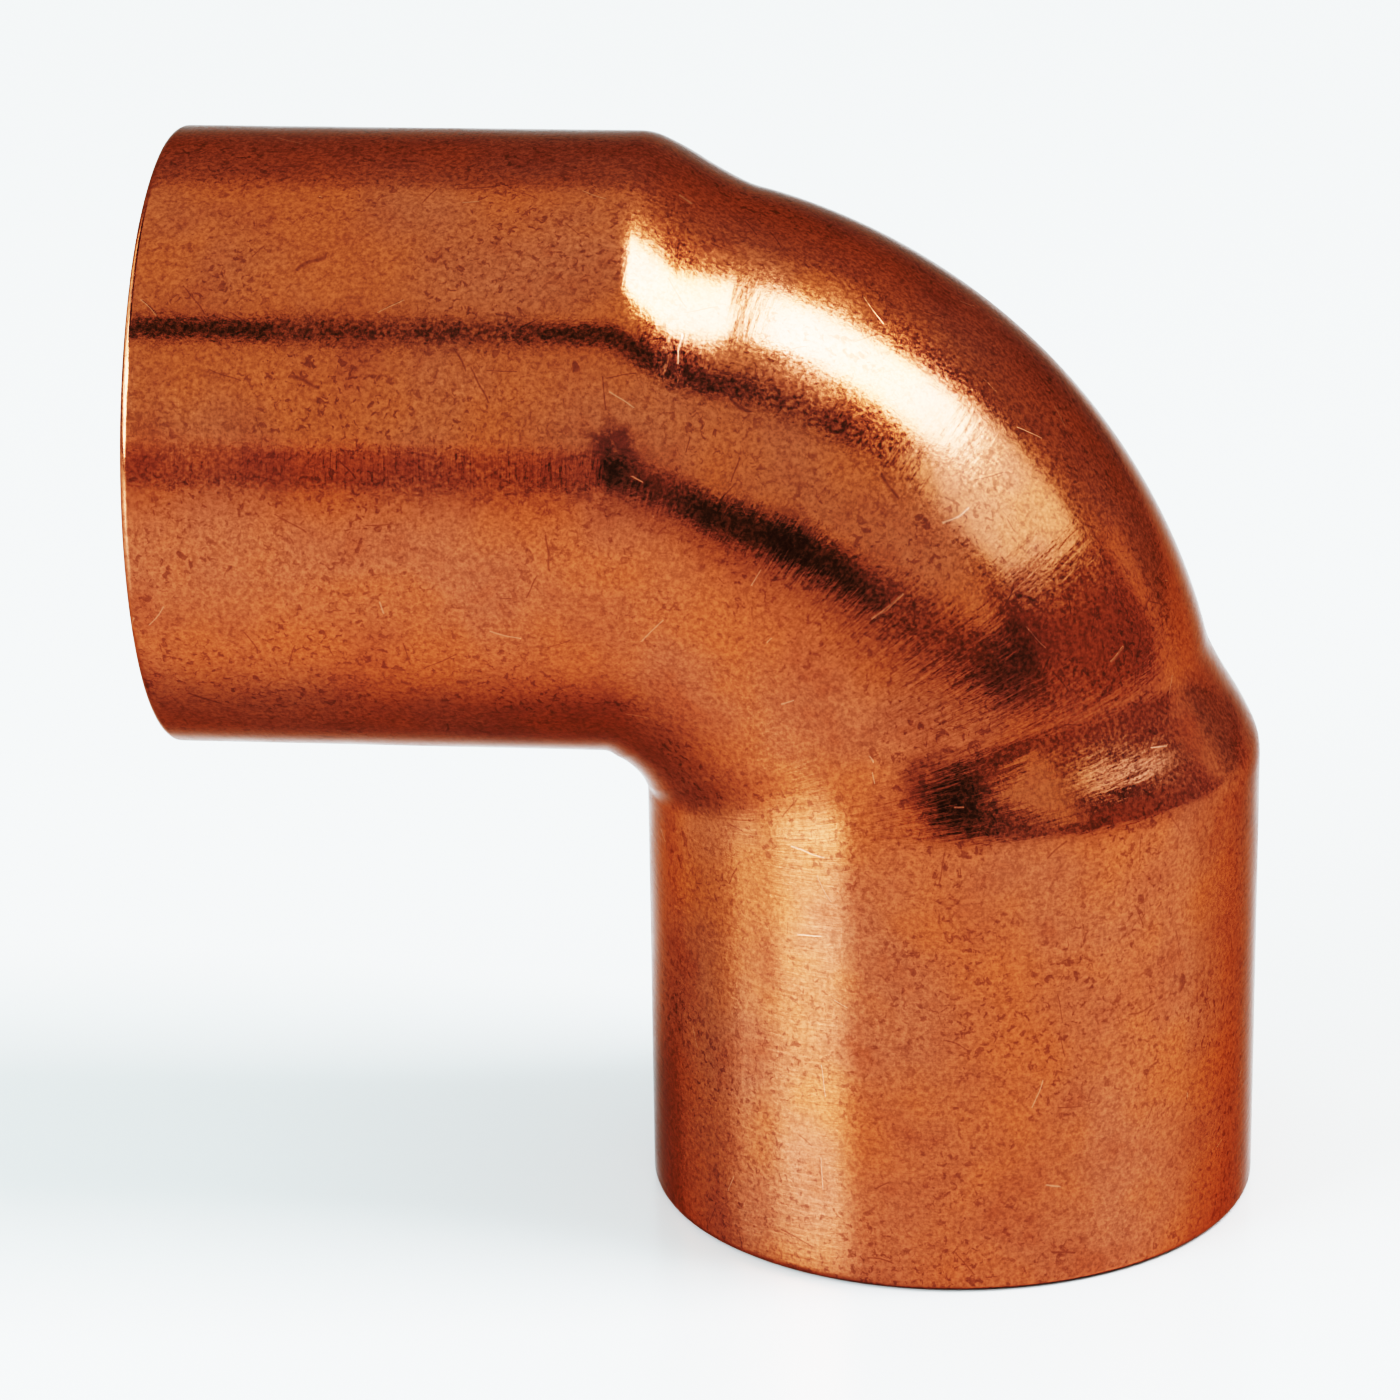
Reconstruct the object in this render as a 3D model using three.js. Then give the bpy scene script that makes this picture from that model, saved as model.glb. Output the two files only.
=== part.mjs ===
// A wrot copper 90 degree elbow with a solder socket (a cup) on each end, for 1/2 in nominal copper
// tube of 15.88 mm outside diameter. It is one piece of tube: bent round a tight crotch, squeezed a
// little in the bend, and sized into a wider cup at each end. Millimetres, +Z up.
//
// The side cup opens towards -X and the lower cup towards -Z. The elbow's centre, where the cups' axes
// cross, is the point that the shapes below are worked out from, and the mesh is then moved so that the
// origin is at the middle of the underside.

import * as THREE from "three";
import { LoftGeometry } from "three/addons/geometries/LoftGeometry.js";

// Driving dimensions.
const BORE_RADIUS = 7.99; // a socket for the 15.88 mm tube
const WALL = 0.76;
const CENTRE_TO_END = 22.0;
const CROTCH_RADIUS = 1.35; // outer skin, inside of the bend
const HEEL_RADIUS = 17.88; // outer skin, outside of the bend, from the crotch's pivot line
const CUP_PAST_PIVOT = 1.55; // the cup stays straight this far past the pivot line
const SHOULDER_PAST_PIVOT = 4.15; // and it has narrowed to the bend this far past it
const SHOULDER_LIP = 0.14; // rounding where the shoulder leaves the cup, as a share of its width
const SHOULDER_FOOT = 0.42; // rounding where the shoulder meets the bend
const CUP_FADE = 3.0; // within about this distance of the pivot line the cup's end closes up on it
const SHOULDER_FADE = 4.0; // and so does the shoulder's foot within this distance
const BEND_SIDE_SWELL = 1.02; // the bend is this much wider across than it is deep
const RIM_ROUND = 0.25; // outer edge of each mouth
const RIM_BREAK = 0.1; // inner edge of each mouth

// How finely the surface is divided.
const POINTS_AROUND = 48;
const FAN_STEPS = 30;
const ROUND_STEPS = 4;

const CUP_RADIUS = BORE_RADIUS + WALL;
const PIVOT = CUP_RADIUS + CROTCH_RADIUS; // the pivot line is this far below and to the left of the centre
const QUARTER_TURN = Math.PI / 2;

// The two skins of the tube's wall. Both fan round the same pivot line.
const OUTER_SKIN = {
  cupRadius: CUP_RADIUS,
  crotchRadius: CROTCH_RADIUS,
  heelRadius: HEEL_RADIUS,
  cupPastPivot: CUP_PAST_PIVOT,
  shoulderPastPivot: SHOULDER_PAST_PIVOT,
};
const INNER_SKIN = {
  cupRadius: BORE_RADIUS,
  crotchRadius: CROTCH_RADIUS + WALL,
  heelRadius: HEEL_RADIUS - WALL,
  cupPastPivot: CUP_PAST_PIVOT - WALL / 4, // the wall keeps its thickness round the shoulder
  shoulderPastPivot: SHOULDER_PAST_PIVOT - WALL / 4,
};

// Calls make(angle) for each point round the tube. Angle 0 is on the heel's side.
function ringOf(make) {
  const ring = [];
  for (let i = 0; i < POINTS_AROUND; i++) {
    ring.push(make((i / POINTS_AROUND) * 2 * Math.PI));
  }
  return ring;
}

// max(x, 0), with its corner rounded over the stretch from -rounding to rounding.
function softRamp(x, rounding) {
  if (x <= -rounding) return 0;
  if (x >= rounding) return x;
  return (x + rounding) ** 2 / (4 * rounding);
}

// The fan angle at which the cup's wall, at a height over the pivot line, is a distance past it. A plane
// square to the cup's axis is at a larger fan angle nearer the crotch, until it fades out there.
function fanAngleAt(past, height, fade) {
  return Math.atan((past * height) / (height ** 2 + fade ** 2));
}

// How far the wall has gone from the cup's shape (0) to the bend's shape (1).
function shoulderShare(skin, fromCup, height) {
  const start = fanAngleAt(skin.cupPastPivot, height, CUP_FADE);
  const end = fanAngleAt(skin.shoulderPastPivot, height, SHOULDER_FADE);
  const along = (fromCup - start) / (end - start);
  return softRamp(along, SHOULDER_LIP) - softRamp(along - 1, SHOULDER_FOOT);
}

// The skin cut by the plane that turns about the pivot line. Fan angle 0 is square to the side cup's
// axis, and a quarter turn is square to the lower cup's axis.
function fanRing(skin, fanAngle) {
  const fromCup = Math.min(fanAngle, QUARTER_TURN - fanAngle);
  const bendRadius = (skin.heelRadius - skin.crotchRadius) / 2;
  const bendCentre = (skin.heelRadius + skin.crotchRadius) / 2;
  return ringOf((angle) => {
    const height = PIVOT + skin.cupRadius * Math.cos(angle); // of the cup's wall over the pivot line
    const share = shoulderShare(skin, fromCup, height);
    const reach = THREE.MathUtils.lerp(
      height / Math.cos(fromCup),
      bendCentre + bendRadius * Math.cos(angle),
      share,
    );
    const side = THREE.MathUtils.lerp(skin.cupRadius, bendRadius * BEND_SIDE_SWELL, share);
    return new THREE.Vector3(
      reach * Math.sin(fanAngle) - PIVOT,
      -side * Math.sin(angle),
      reach * Math.cos(fanAngle) - PIVOT,
    );
  });
}

// Every ring of a skin between the two cups, from the side cup to the lower one.
function fanRings(skin) {
  const rings = [];
  for (let i = 0; i <= FAN_STEPS; i++) {
    rings.push(fanRing(skin, (i / FAN_STEPS) * QUARTER_TURN));
  }
  return rings;
}

// A mouth's rim in section, from the outer skin over the end face to the bore: [along the axis, radius].
function rimProfile() {
  const profile = [];
  for (let i = 0; i <= ROUND_STEPS; i++) {
    const turn = (i / ROUND_STEPS) * QUARTER_TURN;
    profile.push([
      CENTRE_TO_END - RIM_ROUND * (1 - Math.sin(turn)),
      CUP_RADIUS - RIM_ROUND * (1 - Math.cos(turn)),
    ]);
  }
  profile.push([CENTRE_TO_END, BORE_RADIUS + RIM_BREAK]);
  profile.push([CENTRE_TO_END - RIM_BREAK, BORE_RADIUS]);
  return profile;
}

function sideMouthRing([along, radius]) {
  return ringOf(
    (angle) => new THREE.Vector3(-along, -radius * Math.sin(angle), radius * Math.cos(angle)),
  );
}

function lowerMouthRing([along, radius]) {
  return ringOf(
    (angle) => new THREE.Vector3(radius * Math.cos(angle), -radius * Math.sin(angle), -along),
  );
}

// The whole wall as one closed loft: out along the outer skin, over the lower rim, back along the bore
// and over the side rim to where it began.
function elbowGeometry() {
  const rings = [
    ...fanRings(OUTER_SKIN),
    ...rimProfile().map(lowerMouthRing),
    ...fanRings(INNER_SKIN).reverse(),
    ...rimProfile().reverse().map(sideMouthRing),
  ];
  return new LoftGeometry([...rings, rings[0]]);
}

function elbowBody() {
  const copper = new THREE.MeshStandardMaterial({
    color: 0xb5683c,
    roughness: 0.38,
    metalness: 1.0,
  });
  const mesh = new THREE.Mesh(elbowGeometry(), copper);
  mesh.name = "elbow_body";
  mesh.position.set((CENTRE_TO_END - CUP_RADIUS) / 2, 0, CENTRE_TO_END);
  return mesh;
}

const elbow = new THREE.Group();
elbow.add(elbowBody());

export default elbow;
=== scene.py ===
"""The looks of a wrot copper pipe elbow: its fine mesh, its worn copper, a pale floor, soft studio
light and the camera. Sizes are in millimetres until MM turns them into Blender's metres."""

import math

import bpy
import numpy as np
from mathutils import Matrix, Vector, noise


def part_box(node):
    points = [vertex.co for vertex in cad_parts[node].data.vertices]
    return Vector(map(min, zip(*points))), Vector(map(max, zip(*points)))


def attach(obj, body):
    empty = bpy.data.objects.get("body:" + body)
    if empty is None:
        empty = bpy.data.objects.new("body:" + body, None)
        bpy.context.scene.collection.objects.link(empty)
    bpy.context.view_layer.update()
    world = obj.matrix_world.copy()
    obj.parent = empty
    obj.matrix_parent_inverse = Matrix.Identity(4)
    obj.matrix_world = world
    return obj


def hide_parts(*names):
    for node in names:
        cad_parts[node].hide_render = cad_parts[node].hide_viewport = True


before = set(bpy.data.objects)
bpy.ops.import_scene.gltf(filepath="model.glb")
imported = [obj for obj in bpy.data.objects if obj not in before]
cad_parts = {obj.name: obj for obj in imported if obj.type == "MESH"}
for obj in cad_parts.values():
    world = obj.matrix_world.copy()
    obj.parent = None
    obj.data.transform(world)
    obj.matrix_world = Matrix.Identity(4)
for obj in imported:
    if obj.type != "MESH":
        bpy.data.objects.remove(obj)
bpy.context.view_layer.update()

MM = 0.001

# The elbow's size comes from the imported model's box. Its centre is where the two cups' axes cross.
BODY_LOW, BODY_HIGH = (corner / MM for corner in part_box("elbow_body"))
CUP_RADIUS = (BODY_HIGH.y - BODY_LOW.y) / 2
CENTRE = Vector((BODY_HIGH.x - CUP_RADIUS, 0, BODY_HIGH.z - CUP_RADIUS))
CENTRE_TO_END = CENTRE.z - BODY_LOW.z

# The rest of the shape, as the CAD model has it.
WALL = 0.76
CROTCH_RADIUS = 1.35
HEEL_RADIUS = 17.88
CUP_PAST_PIVOT = 1.55
SHOULDER_PAST_PIVOT = 4.15
SHOULDER_LIP = 0.14
SHOULDER_FOOT = 0.42
CUP_FADE = 3.0
SHOULDER_FADE = 4.0
BEND_SIDE_SWELL = 1.02
RIM_ROUND = 0.25
RIM_BREAK = 0.1
BORE_RADIUS = CUP_RADIUS - WALL
PIVOT = CUP_RADIUS + CROTCH_RADIUS
QUARTER_TURN = math.pi / 2

# How finely the mesh is divided.
POINTS_AROUND = 256
OUTER_FAN_STEPS = 180
INNER_FAN_STEPS = 60
OUTER_CUP_STEPS = 24
INNER_CUP_STEPS = 8
ROUND_STEPS = 7

# Low waves that sizing and bending leave in the wall, always below the nominal surface, and the
# shallow groove that the sizing tool's edge leaves at the foot of each shoulder.
WAVE_DEPTH = 0.014
WAVE_LENGTH = 3.5
GROOVE_DEPTH = 0.012
GROOVE_PLACE = 1.3
GROOVE_HALF_WIDTH = 0.2


def soft_ramp(x, rounding):
    """max(x, 0) with its corner rounded over the stretch from -rounding to rounding."""
    corner = (x + rounding) ** 2 / (4 * rounding)
    return np.where(x <= -rounding, 0.0, np.where(x >= rounding, x, corner))


def fan_angle_at(past, height, fade):
    """The fan angle at which the cup's wall, at a height over the pivot line, is a distance past it."""
    return np.arctan(past * height / (height**2 + fade**2))


AROUND = np.arange(POINTS_AROUND) / POINTS_AROUND * 2 * math.pi


class Skin:
    """One face of the tube's wall: its sections by planes that fan round the crotch's pivot line."""

    def __init__(self, inset):
        self.cup_radius = CUP_RADIUS - inset
        self.crotch_radius = CROTCH_RADIUS + inset
        self.heel_radius = HEEL_RADIUS - inset
        self.cup_past_pivot = CUP_PAST_PIVOT - inset / 4
        self.shoulder_past_pivot = SHOULDER_PAST_PIVOT - inset / 4

    def fan_ring(self, fan_angle):
        from_cup = min(fan_angle, QUARTER_TURN - fan_angle)
        bend_radius = (self.heel_radius - self.crotch_radius) / 2
        bend_centre = (self.heel_radius + self.crotch_radius) / 2
        height = PIVOT + self.cup_radius * np.cos(AROUND)
        start = fan_angle_at(self.cup_past_pivot, height, CUP_FADE)
        end = fan_angle_at(self.shoulder_past_pivot, height, SHOULDER_FADE)
        along = (from_cup - start) / (end - start)
        share = soft_ramp(along, SHOULDER_LIP) - soft_ramp(along - 1, SHOULDER_FOOT)
        cup_reach = height / math.cos(from_cup)
        bend_reach = bend_centre + bend_radius * np.cos(AROUND)
        groove = np.exp(-(((along - GROOVE_PLACE) / GROOVE_HALF_WIDTH) ** 2))
        shoulder_height = np.clip(cup_reach - bend_reach, 0, 1)
        reach = cup_reach + share * (bend_reach - cup_reach) - GROOVE_DEPTH * groove * shoulder_height
        side = self.cup_radius + share * (bend_radius * BEND_SIDE_SWELL - self.cup_radius)
        return np.stack(
            [
                reach * math.sin(fan_angle) - PIVOT,
                -side * np.sin(AROUND),
                reach * math.cos(fan_angle) - PIVOT,
            ],
            axis=1,
        )

    def rings(self, fan_steps, cup_steps, end_inset):
        """Every ring from just inside the side mouth to just inside the lower one."""
        straight = np.linspace(CENTRE_TO_END - end_inset, PIVOT, cup_steps, endpoint=False)
        fan = np.linspace(0, QUARTER_TURN, fan_steps + 1)
        return (
            [side_mouth_ring(along, self.cup_radius) for along in straight[1:]]
            + [self.fan_ring(angle) for angle in fan]
            + [lower_mouth_ring(along, self.cup_radius) for along in straight[:0:-1]]
        )


def side_mouth_ring(along, radius):
    return np.stack(
        [np.full(POINTS_AROUND, -along), -radius * np.sin(AROUND), radius * np.cos(AROUND)], axis=1
    )


def lower_mouth_ring(along, radius):
    return np.stack(
        [radius * np.cos(AROUND), -radius * np.sin(AROUND), np.full(POINTS_AROUND, -along)], axis=1
    )


def rim_profile():
    """A mouth's rim in section, from the outer skin over the end face to the bore."""
    outer = [
        (
            CENTRE_TO_END - RIM_ROUND * (1 - math.sin(turn)),
            CUP_RADIUS - RIM_ROUND * (1 - math.cos(turn)),
        )
        for turn in np.linspace(0, QUARTER_TURN, ROUND_STEPS + 1)
    ]
    inner = [
        (
            CENTRE_TO_END - RIM_BREAK * (1 - math.cos(turn)),
            BORE_RADIUS + RIM_BREAK * (1 - math.sin(turn)),
        )
        for turn in np.linspace(0, QUARTER_TURN, ROUND_STEPS // 2 + 1)
    ]
    return outer + inner


def wall_rings():
    """The whole wall as one closed run of rings, and 1 for each ring from one rim's inner edge, through
    the bore, to the other rim's inner edge."""
    rim = rim_profile()
    outer = Skin(0).rings(OUTER_FAN_STEPS, OUTER_CUP_STEPS, RIM_ROUND)
    inner = Skin(WALL).rings(INNER_FAN_STEPS, INNER_CUP_STEPS, RIM_BREAK)
    lower_rim = [lower_mouth_ring(*point) for point in rim]
    side_rim = [side_mouth_ring(*point) for point in reversed(rim)]
    rings = outer + lower_rim + inner[::-1] + side_rim
    last_of_lower_rim = len(outer) + len(lower_rim) - 1
    first_of_side_rim = last_of_lower_rim + len(inner) + 1
    in_bore = np.zeros(len(rings))
    in_bore[last_of_lower_rim : first_of_side_rim + 1] = 1
    return np.array(rings), in_bore


def path_lengths(rings):
    """How far each ring lies from the side mouth: out along the outer skin, and back along the bore."""
    middles = rings.mean(axis=1)
    steps = np.linalg.norm(np.diff(middles, axis=0, prepend=middles[-1:]), axis=1)
    out = np.cumsum(steps)
    return np.minimum(out, out[-1] - out)


def unrolled(rings):
    """Each point as if the tube were straight: along the tube, then up and across it. The waves and
    the tool marks that follow the tube are laid out in these coordinates, which have no seam."""
    along = np.repeat(path_lengths(rings)[:, None], POINTS_AROUND, axis=1)
    up = np.broadcast_to(CUP_RADIUS * np.cos(AROUND), along.shape)
    across = np.broadcast_to(CUP_RADIUS * np.sin(AROUND), along.shape)
    return np.stack([along, up, across], axis=2)


def with_waves(points, normals, flat):
    """The points moved inwards by low waves, seeded by place so that every run is the same."""
    depth = [
        WAVE_DEPTH * (0.5 + 0.5 * noise.noise(Vector(place) / WAVE_LENGTH)) for place in flat
    ]
    return points - normals * np.array(depth)[:, None]


def elbow_mesh():
    rings, in_bore = wall_rings()
    flat = unrolled(rings).reshape(-1, 3)
    count = len(rings)
    ring = np.arange(count)[:, None] * POINTS_AROUND
    step = np.arange(POINTS_AROUND)[None, :]
    next_ring = np.roll(np.arange(count), -1)[:, None] * POINTS_AROUND
    next_step = (step + 1) % POINTS_AROUND
    quads = np.stack(
        [ring + step, ring + next_step, next_ring + next_step, next_ring + step], axis=2
    ).reshape(-1, 4)
    mesh = bpy.data.meshes.new("elbow")
    mesh.from_pydata(rings.reshape(-1, 3).tolist(), [], quads.tolist())
    mesh.update()
    normals = np.zeros(len(mesh.vertices) * 3)
    mesh.vertices.foreach_get("normal", normals)
    points = with_waves(rings.reshape(-1, 3), normals.reshape(-1, 3), flat)
    placed = (points + np.array(CENTRE)) * MM
    mesh.vertices.foreach_set("co", placed.ravel())
    add_vector(mesh, "unrolled", flat)
    add_number(mesh, "bore", np.repeat(in_bore, POINTS_AROUND))
    mesh.shade_smooth()
    mesh.update()
    return mesh


def add_vector(mesh, name, values):
    mesh.attributes.new(name, "FLOAT_VECTOR", "POINT").data.foreach_set("vector", values.ravel())


def add_number(mesh, name, values):
    mesh.attributes.new(name, "FLOAT", "POINT").data.foreach_set("value", values.ravel())


# The copper's colours, linear.
COPPER_ORANGE = (0.33, 0.100, 0.046)
COPPER_PINK = (0.31, 0.106, 0.060)
COPPER_BROWN = (0.24, 0.066, 0.032)
COPPER_PALE = (0.50, 0.22, 0.14)
# The bore's clean copper, made lighter also as painted bounce light that lifts the shade inside the bore.
BORE_COPPER_AND_BOUNCE_LIGHT = (0.96, 0.58, 0.42)
SPECK_BROWN = (0.10, 0.030, 0.018)
# The dark brown of the painted dark reflections, painted shade where the elbow reflects dark surroundings.
PAINTED_REFLECTION_BROWN = (0.07, 0.018, 0.012)
COPPER_EDGE_TINT = (0.54, 0.45, 0.42)

RELIEF_DEPTH = 0.006

# Shifts that keep the large pits and the bright scratches from lying where the other marks do.
LARGE_PITS_SHIFT = (7, 3, 11)
SCRATCHES_SHIFT = (31, 17, 5)

# Painted dark reflections: dark patches painted where the lit elbow reflects dark surroundings. For each:
# where its middle is, from the elbow's centre, its radius and strength.
PAINTED_DARK_REFLECTIONS = [
    ((-8.6, -8.4, 2.3), 0.9, 0.7),
    ((-3.9, -8.0, -0.1), 1.1, 0.4),
    ((2.0, -7.4, -3.8), 1.6, 0.4),
    ((-0.3, -8.3, -6.7), 1.1, 0.45),
    ((0.6, -8.4, -7.6), 1.1, 0.45),
]


class Graph:
    """A material's node tree, with one short call for each kind of node that the copper needs."""

    def __init__(self, name):
        self.material = bpy.data.materials.new(name)
        self.material.use_nodes = True
        self.tree = self.material.node_tree
        self.tree.nodes.clear()

    def add(self, kind, inputs, **settings):
        node = self.tree.nodes.new(kind)
        for name, value in settings.items():
            setattr(node, name, value)
        for socket, value in inputs.items():
            self.feed(node.inputs[socket], value)
        return node

    def feed(self, socket, value):
        if isinstance(value, bpy.types.NodeSocket):
            self.tree.links.new(value, socket)
        elif isinstance(value, tuple) and len(value) == 3 and socket.type == "RGBA":
            socket.default_value = (*value, 1)
        else:
            socket.default_value = value

    def stretched(self, vector, scale):
        return self.add("ShaderNodeMapping", {"Vector": vector, "Scale": scale}).outputs["Vector"]

    def noise(self, vector, scale, detail=2.0, roughness=0.5, distortion=0.0):
        inputs = {
            "Vector": vector,
            "Scale": scale,
            "Detail": detail,
            "Roughness": roughness,
            "Distortion": distortion,
        }
        return self.add("ShaderNodeTexNoise", inputs).outputs["Fac"]

    def ramp(self, value, low, high, start=0.0, end=1.0):
        inputs = {"Value": value, "From Min": low, "From Max": high, "To Min": start, "To Max": end}
        return self.add("ShaderNodeMapRange", inputs, interpolation_type="SMOOTHSTEP").outputs["Result"]

    def math(self, operation, first, second):
        return self.add("ShaderNodeMath", {0: first, 1: second}, operation=operation).outputs["Value"]

    def vector(self, operation, first, second=(0, 0, 0)):
        node = self.add("ShaderNodeVectorMath", {0: first, 1: second}, operation=operation)
        return node.outputs["Vector"]

    def scale_vector(self, vector, scale):
        node = self.add("ShaderNodeVectorMath", {0: vector, "Scale": scale}, operation="SCALE")
        return node.outputs["Vector"]

    def shifted(self, vector, shift):
        return self.vector("ADD", vector, shift)

    def dot(self, first, second):
        node = self.add("ShaderNodeVectorMath", {0: first, 1: second}, operation="DOT_PRODUCT")
        return node.outputs["Value"]

    def length(self, vector):
        return self.add("ShaderNodeVectorMath", {0: vector}, operation="LENGTH").outputs["Value"]

    def channel(self, colour, index):
        return self.add("ShaderNodeSeparateColor", {"Color": colour}).outputs[index]

    def voronoi(self, vector, scale):
        return self.add("ShaderNodeTexVoronoi", {"Vector": vector, "Scale": scale})

    def noise_vector(self, vector, scale, amount):
        """The vector shaken by up to about half the amount each way."""
        noisy = self.add("ShaderNodeTexNoise", {"Vector": vector, "Scale": scale, "Detail": 1.0})
        shake = self.scale_vector(self.vector("SUBTRACT", noisy.outputs["Color"], (0.5, 0.5, 0.5)), amount)
        return self.vector("ADD", vector, shake)

    def mix(self, share, first, second):
        """The first colour blended towards the second by the share."""
        node = self.tree.nodes.new("ShaderNodeMix")
        node.data_type = "RGBA"
        sockets = {socket.identifier: socket for socket in node.inputs}
        self.feed(sockets["Factor_Float"], share)
        self.feed(sockets["A_Color"], first)
        self.feed(sockets["B_Color"], second)
        return next(socket for socket in node.outputs if socket.identifier == "Result_Color")


def pits(graph, place, size, share):
    """Small irregular stain spots in clusters: 1 inside one. Share is how much of a cluster they cover."""
    spots = graph.noise(place, 1 / size, 3.0, 0.6, 0.6)
    clusters = graph.ramp(graph.noise(place, 0.3, 2.0), 0.35, 0.65, 0.35, 1.0)
    edge = 0.72 - 0.4 * share
    return graph.math("MULTIPLY", graph.ramp(spots, edge, edge + 0.07), clusters)


def dark_reflection_paint(graph, place):
    """How dark the painted dark reflections are: dark patches painted where the elbow reflects dark
    surroundings. They have ragged edges and are broken up by finer spots.
    """
    ragged = graph.noise_vector(graph.noise_vector(place, 0.9, 0.9), 3.0, 0.6)
    broken = graph.ramp(graph.noise(place, 3.5, 3.0, 0.6, 0.5), 0.36, 0.5, 0.35, 1.0)
    painted_darkness = 0.0
    for middle, radius, strength in PAINTED_DARK_REFLECTIONS:
        offset = graph.vector("SUBTRACT", ragged, tuple(CENTRE + Vector(middle)))
        spot = graph.ramp(graph.length(offset), radius, 0.3 * radius, 0.0, strength)
        painted_darkness = graph.math("MAXIMUM", painted_darkness, spot)
    return graph.math("MULTIPLY", painted_darkness, broken)


def hairlines(graph, place, spacing, length, width, share):
    """Short scratches in random directions: 1 inside one. Each is where a thin disc cuts the skin."""
    bent = graph.noise_vector(place, 0.8, 0.25)
    cells = graph.voronoi(bent, 1 / spacing)
    colour = cells.outputs["Color"]
    axis = graph.vector("NORMALIZE", graph.vector("SUBTRACT", colour, (0.5, 0.5, 0.5)))
    offset = graph.vector("SUBTRACT", bent, cells.outputs["Position"])
    depth = graph.math("ABSOLUTE", graph.dot(offset, axis), 0.0)
    radius = graph.ramp(graph.channel(colour, 1), 1 - share, 1.0, 0.0, length / 2)
    inside = graph.math("LESS_THAN", graph.length(offset), radius)
    return graph.math("MULTIPLY", inside, graph.ramp(depth, width / 2, 0.0))


def copper_colour(graph, place, bore, marks, scratches):
    """Orange and pink areas, darker tarnish, painted dark reflections, a fine mottle, specks and bright
    scratches.
    """
    areas = graph.ramp(graph.noise(place, 0.25, 3.0), 0.35, 0.65)
    colour = graph.mix(areas, COPPER_ORANGE, COPPER_PINK)
    tarnish = graph.ramp(graph.noise(place, 0.5, 5.0, 0.6), 0.45, 0.75, 0.0, 0.6)
    colour = graph.mix(tarnish, colour, COPPER_BROWN)
    # The bore is painted lighter: its clean copper, and painted bounce light that lifts the shade inside
    # it.
    colour = graph.mix(graph.math("MULTIPLY", bore, 0.95), colour, BORE_COPPER_AND_BOUNCE_LIGHT)
    # Painted dark reflections: dark patches painted into the colour where the elbow reflects dark
    # surroundings.
    colour = graph.mix(dark_reflection_paint(graph, place), colour, PAINTED_REFLECTION_BROWN)
    mottle = graph.ramp(graph.noise(place, 8.0, 3.0, 0.7), 0.3, 0.7, 0.74, 1.22)
    colour = graph.scale_vector(colour, mottle)
    colour = graph.mix(graph.math("MULTIPLY", marks, 0.6), colour, SPECK_BROWN)
    return graph.mix(graph.math("MULTIPLY", scratches, 0.6), colour, COPPER_PALE)


def copper_relief(graph, place, flat, scratches):
    """Fine grain, the ring-wise marks of the sizing tools, low dents, and grooves for scratches."""
    rings = graph.noise(graph.stretched(flat, (8, 0.8, 0.8)), 1.0, 3.0)
    grain = graph.noise(place, 9.0, 3.0, 0.6)
    dents = graph.noise(place, 0.6, 2.0)
    height = graph.math("MULTIPLY", rings, 1.4)
    height = graph.math("ADD", height, graph.math("MULTIPLY", grain, 0.5))
    height = graph.math("ADD", height, graph.math("MULTIPLY", dents, 1.5))
    height = graph.math("SUBTRACT", height, graph.math("MULTIPLY", scratches, 0.5))
    return graph.add(
        "ShaderNodeBump", {"Height": height, "Strength": 1.0, "Distance": RELIEF_DEPTH * MM}
    ).outputs["Normal"]


def copper_roughness(graph, place, bore):
    """Smoother and duller areas, each finely mottled, and a duller bore."""
    areas = graph.ramp(graph.noise(place, 0.35, 2.0), 0.35, 0.65, 0.12, 0.20)
    mottle = graph.ramp(graph.noise(place, 8.0, 3.0), 0.3, 0.7, 0.8, 1.3)
    outside = graph.math("MULTIPLY", areas, mottle)
    return graph.math("ADD", outside, graph.math("MULTIPLY", bore, 0.28))


def copper():
    graph = Graph("copper")
    coordinates = graph.add("ShaderNodeTexCoord", {}).outputs["Object"]
    place = graph.scale_vector(coordinates, 1 / MM)
    flat = graph.add("ShaderNodeAttribute", {}, attribute_name="unrolled").outputs["Vector"]
    bore = graph.add("ShaderNodeAttribute", {}, attribute_name="bore").outputs["Fac"]
    small = pits(graph, place, size=0.22, share=0.4)
    large = pits(graph, graph.shifted(place, LARGE_PITS_SHIFT), size=0.6, share=0.15)
    hairs = hairlines(graph, place, spacing=1.1, length=1.2, width=0.05, share=0.5)
    marks = graph.math("MAXIMUM", graph.math("MAXIMUM", small, large), hairs)
    elsewhere = graph.shifted(place, SCRATCHES_SHIFT)
    scratches = hairlines(graph, elsewhere, spacing=1.5, length=1.1, width=0.05, share=0.4)
    shader = graph.add(
        "ShaderNodeBsdfPrincipled",
        {
            "Base Color": copper_colour(graph, place, bore, marks, scratches),
            "Metallic": 1.0,
            "Roughness": copper_roughness(graph, place, bore),
            "Specular Tint": COPPER_EDGE_TINT,
            "Normal": copper_relief(graph, place, flat, scratches),
        },
    )
    graph.add("ShaderNodeOutputMaterial", {"Surface": shader.outputs["BSDF"]})
    return graph.material


def elbow():
    piece = bpy.data.objects.new("copper_elbow", elbow_mesh())
    bpy.context.scene.collection.objects.link(piece)
    piece.data.materials.append(copper())
    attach(piece, "root")
    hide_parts("elbow_body")


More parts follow.
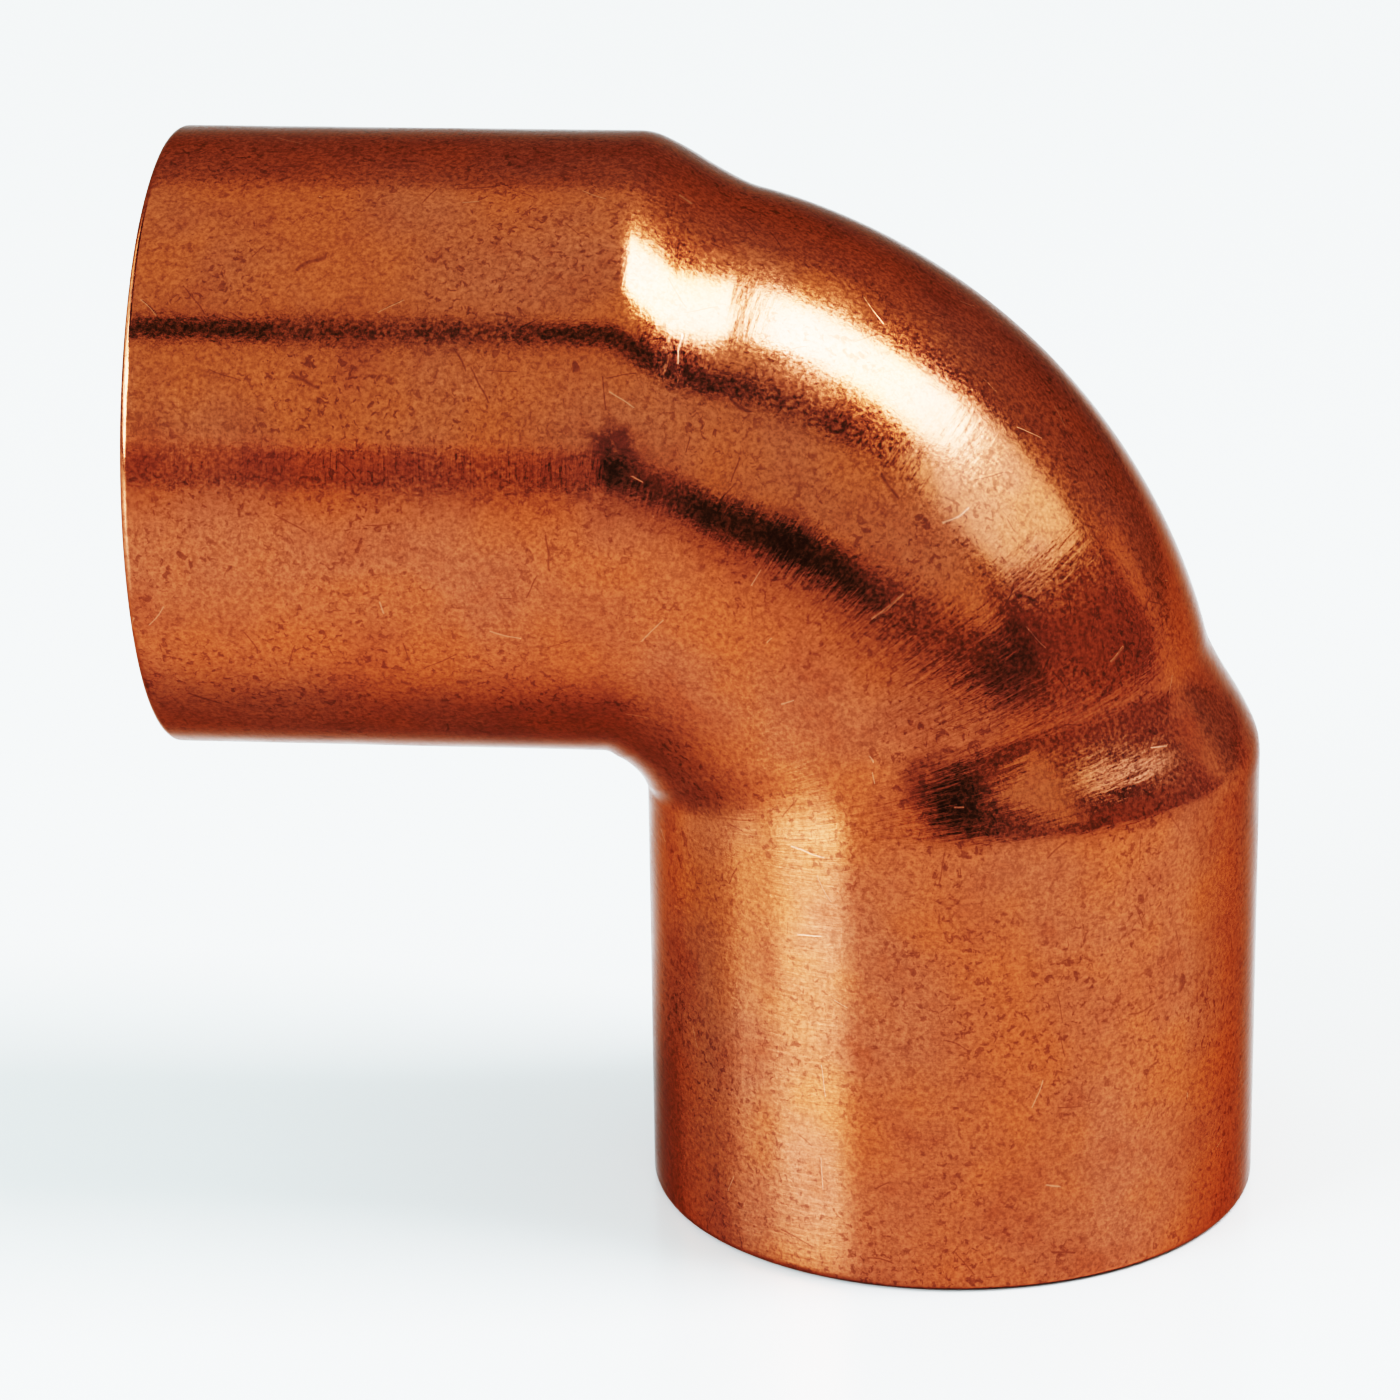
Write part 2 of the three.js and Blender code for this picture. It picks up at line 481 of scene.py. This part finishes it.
# The studio. Azimuth 0 is the camera's side (-Y) and 90 is +X. Each softbox is an area light, given as
# where it is seen from the elbow (azimuth and elevation), how many degrees it spans, its radiance and
# its tint.
FLOOR_HALF = 2000
FLOOR_COLOUR = (0.66, 0.61, 0.56)
FLOOR_ROUGHNESS = 0.2
COOL = (1.0, 1.12, 1.28)
COLD = (1.0, 1.4, 1.7)
PALE = (1.0, 1.25, 1.3)
NEUTRAL = (1.0, 1.0, 1.0)
SOFTBOXES = {
    "overhead": (180, 89, (70, 62), 1.35, PALE),
    "front": (-5, 32, (110, 38), 1.35, PALE),
    "front_low": (-34, 8, (58, 15), 0.95, NEUTRAL),
    "low_front": (40, 8, (40, 15), 0.35, NEUTRAL),
    "low_right": (92, 8, (64, 16), 0.65, NEUTRAL),
    "key": (88, 57, (23, 33), 24.0, COOL),
    "key_foot": (82, 30, (44, 22), 3.4, COLD),
    "left": (-52, 20, (24, 30), 10.0, COLD),
    "left_fade": (-60, 20, (48, 30), 6.0, COLD),
    "far_left": (-98, 20, (46, 30), 3.0, COLD),
    "back": (180, 29, (130, 58), 0.75, PALE),
}
LIGHT_DISTANCE = 1500
ROOM_RADIANCE = 0.25


def direction(azimuth, elevation):
    azimuth, elevation = math.radians(azimuth), math.radians(elevation)
    flat = math.cos(elevation)
    return Vector((math.sin(azimuth) * flat, -math.cos(azimuth) * flat, math.sin(elevation)))


def softbox(name, azimuth, elevation, span, radiance, colour):
    light = bpy.data.lights.new(name, "AREA")
    light.color = colour
    light.shape = "RECTANGLE"
    light.size, light.size_y = (
        2 * LIGHT_DISTANCE * MM * math.tan(math.radians(angle / 2)) for angle in span
    )
    light.energy = radiance * math.pi * light.size * light.size_y
    lamp = bpy.data.objects.new(name, light)
    back = direction(azimuth, elevation)
    lamp.matrix_world = Matrix.Translation((CENTRE + back * LIGHT_DISTANCE) * MM) @ (
        back.to_track_quat("Z", "Y").to_matrix().to_4x4()
    )
    lamp.visible_camera = False
    bpy.context.scene.collection.objects.link(lamp)


def room():
    """A dim, even room round the softboxes."""
    world = bpy.data.worlds.new("room")
    bpy.context.scene.world = world
    world.use_nodes = True
    background = world.node_tree.nodes["Background"]
    background.inputs["Color"].default_value = (1, 1, 1, 1)
    background.inputs["Strength"].default_value = ROOM_RADIANCE


def floor():
    mesh = bpy.data.meshes.new("floor")
    reach = FLOOR_HALF * MM
    corners = [(-reach, -reach, 0), (reach, -reach, 0), (reach, reach, 0), (-reach, reach, 0)]
    mesh.from_pydata(corners, [], [(0, 1, 2, 3)])
    piece = bpy.data.objects.new("floor", mesh)
    bpy.context.scene.collection.objects.link(piece)
    graph = Graph("pale_floor")
    shader = graph.add(
        "ShaderNodeBsdfPrincipled",
        {"Base Color": FLOOR_COLOUR, "Roughness": FLOOR_ROUGHNESS, "Specular IOR Level": 0.5},
    )
    graph.add("ShaderNodeOutputMaterial", {"Surface": shader.outputs["BSDF"]})
    mesh.materials.append(graph.material)


# The camera looks down on the elbow from the front, close enough to show some perspective.
CAMERA_DISTANCE = 158
CAMERA_AZIMUTH = 6.16
CAMERA_ELEVATION = 19.68
CAMERA_ROLL = math.radians(-0.82)
CAMERA_TARGET = CENTRE + Vector((-7.26, 0, -7.72))
CAMERA_LENS = 141.7
CAMERA_SENSOR = 36


def camera():
    back = direction(CAMERA_AZIMUTH, CAMERA_ELEVATION)
    turn = back.to_track_quat("Z", "Y").to_matrix() @ Matrix.Rotation(CAMERA_ROLL, 3, "Z")
    data = bpy.data.cameras.new("camera")
    data.lens = CAMERA_LENS
    data.sensor_width = CAMERA_SENSOR
    data.clip_start = 10 * MM
    data.clip_end = 2 * FLOOR_HALF * MM
    view = bpy.data.objects.new("camera", data)
    view.matrix_world = (
        Matrix.Translation((CAMERA_TARGET + back * CAMERA_DISTANCE) * MM) @ turn.to_4x4()
    )
    bpy.context.scene.collection.objects.link(view)
    bpy.context.scene.camera = view


# A camera's tones, from scene radiance to what is shown: deep shadows and highlights that roll off.
TONES = [
    (0.05, 0.010),
    (0.1, 0.026),
    (0.2, 0.11),
    (0.35, 0.29),
    (0.56, 0.50),
    (0.8, 0.66),
    (1.1, 0.78),
    (1.5, 0.87),
    (2.2, 0.94),
    (3.2, 0.98),
]
TONE_WHITE = 4.5
COMBINED_CURVE = 3  # after the red, green and blue ones


def camera_tones():
    view = bpy.context.scene.view_settings
    view.view_transform = "Standard"
    view.use_curve_mapping = True
    mapping = view.curve_mapping
    mapping.clip_max_x = TONE_WHITE
    curve = mapping.curves[COMBINED_CURVE]
    curve.points[-1].location = (TONE_WHITE, 1)
    for radiance, shown in TONES:
        curve.points.new(radiance, shown)
    mapping.update()


elbow()
floor()
room()
for name, settings in SOFTBOXES.items():
    softbox(name, *settings)
camera()
camera_tones()
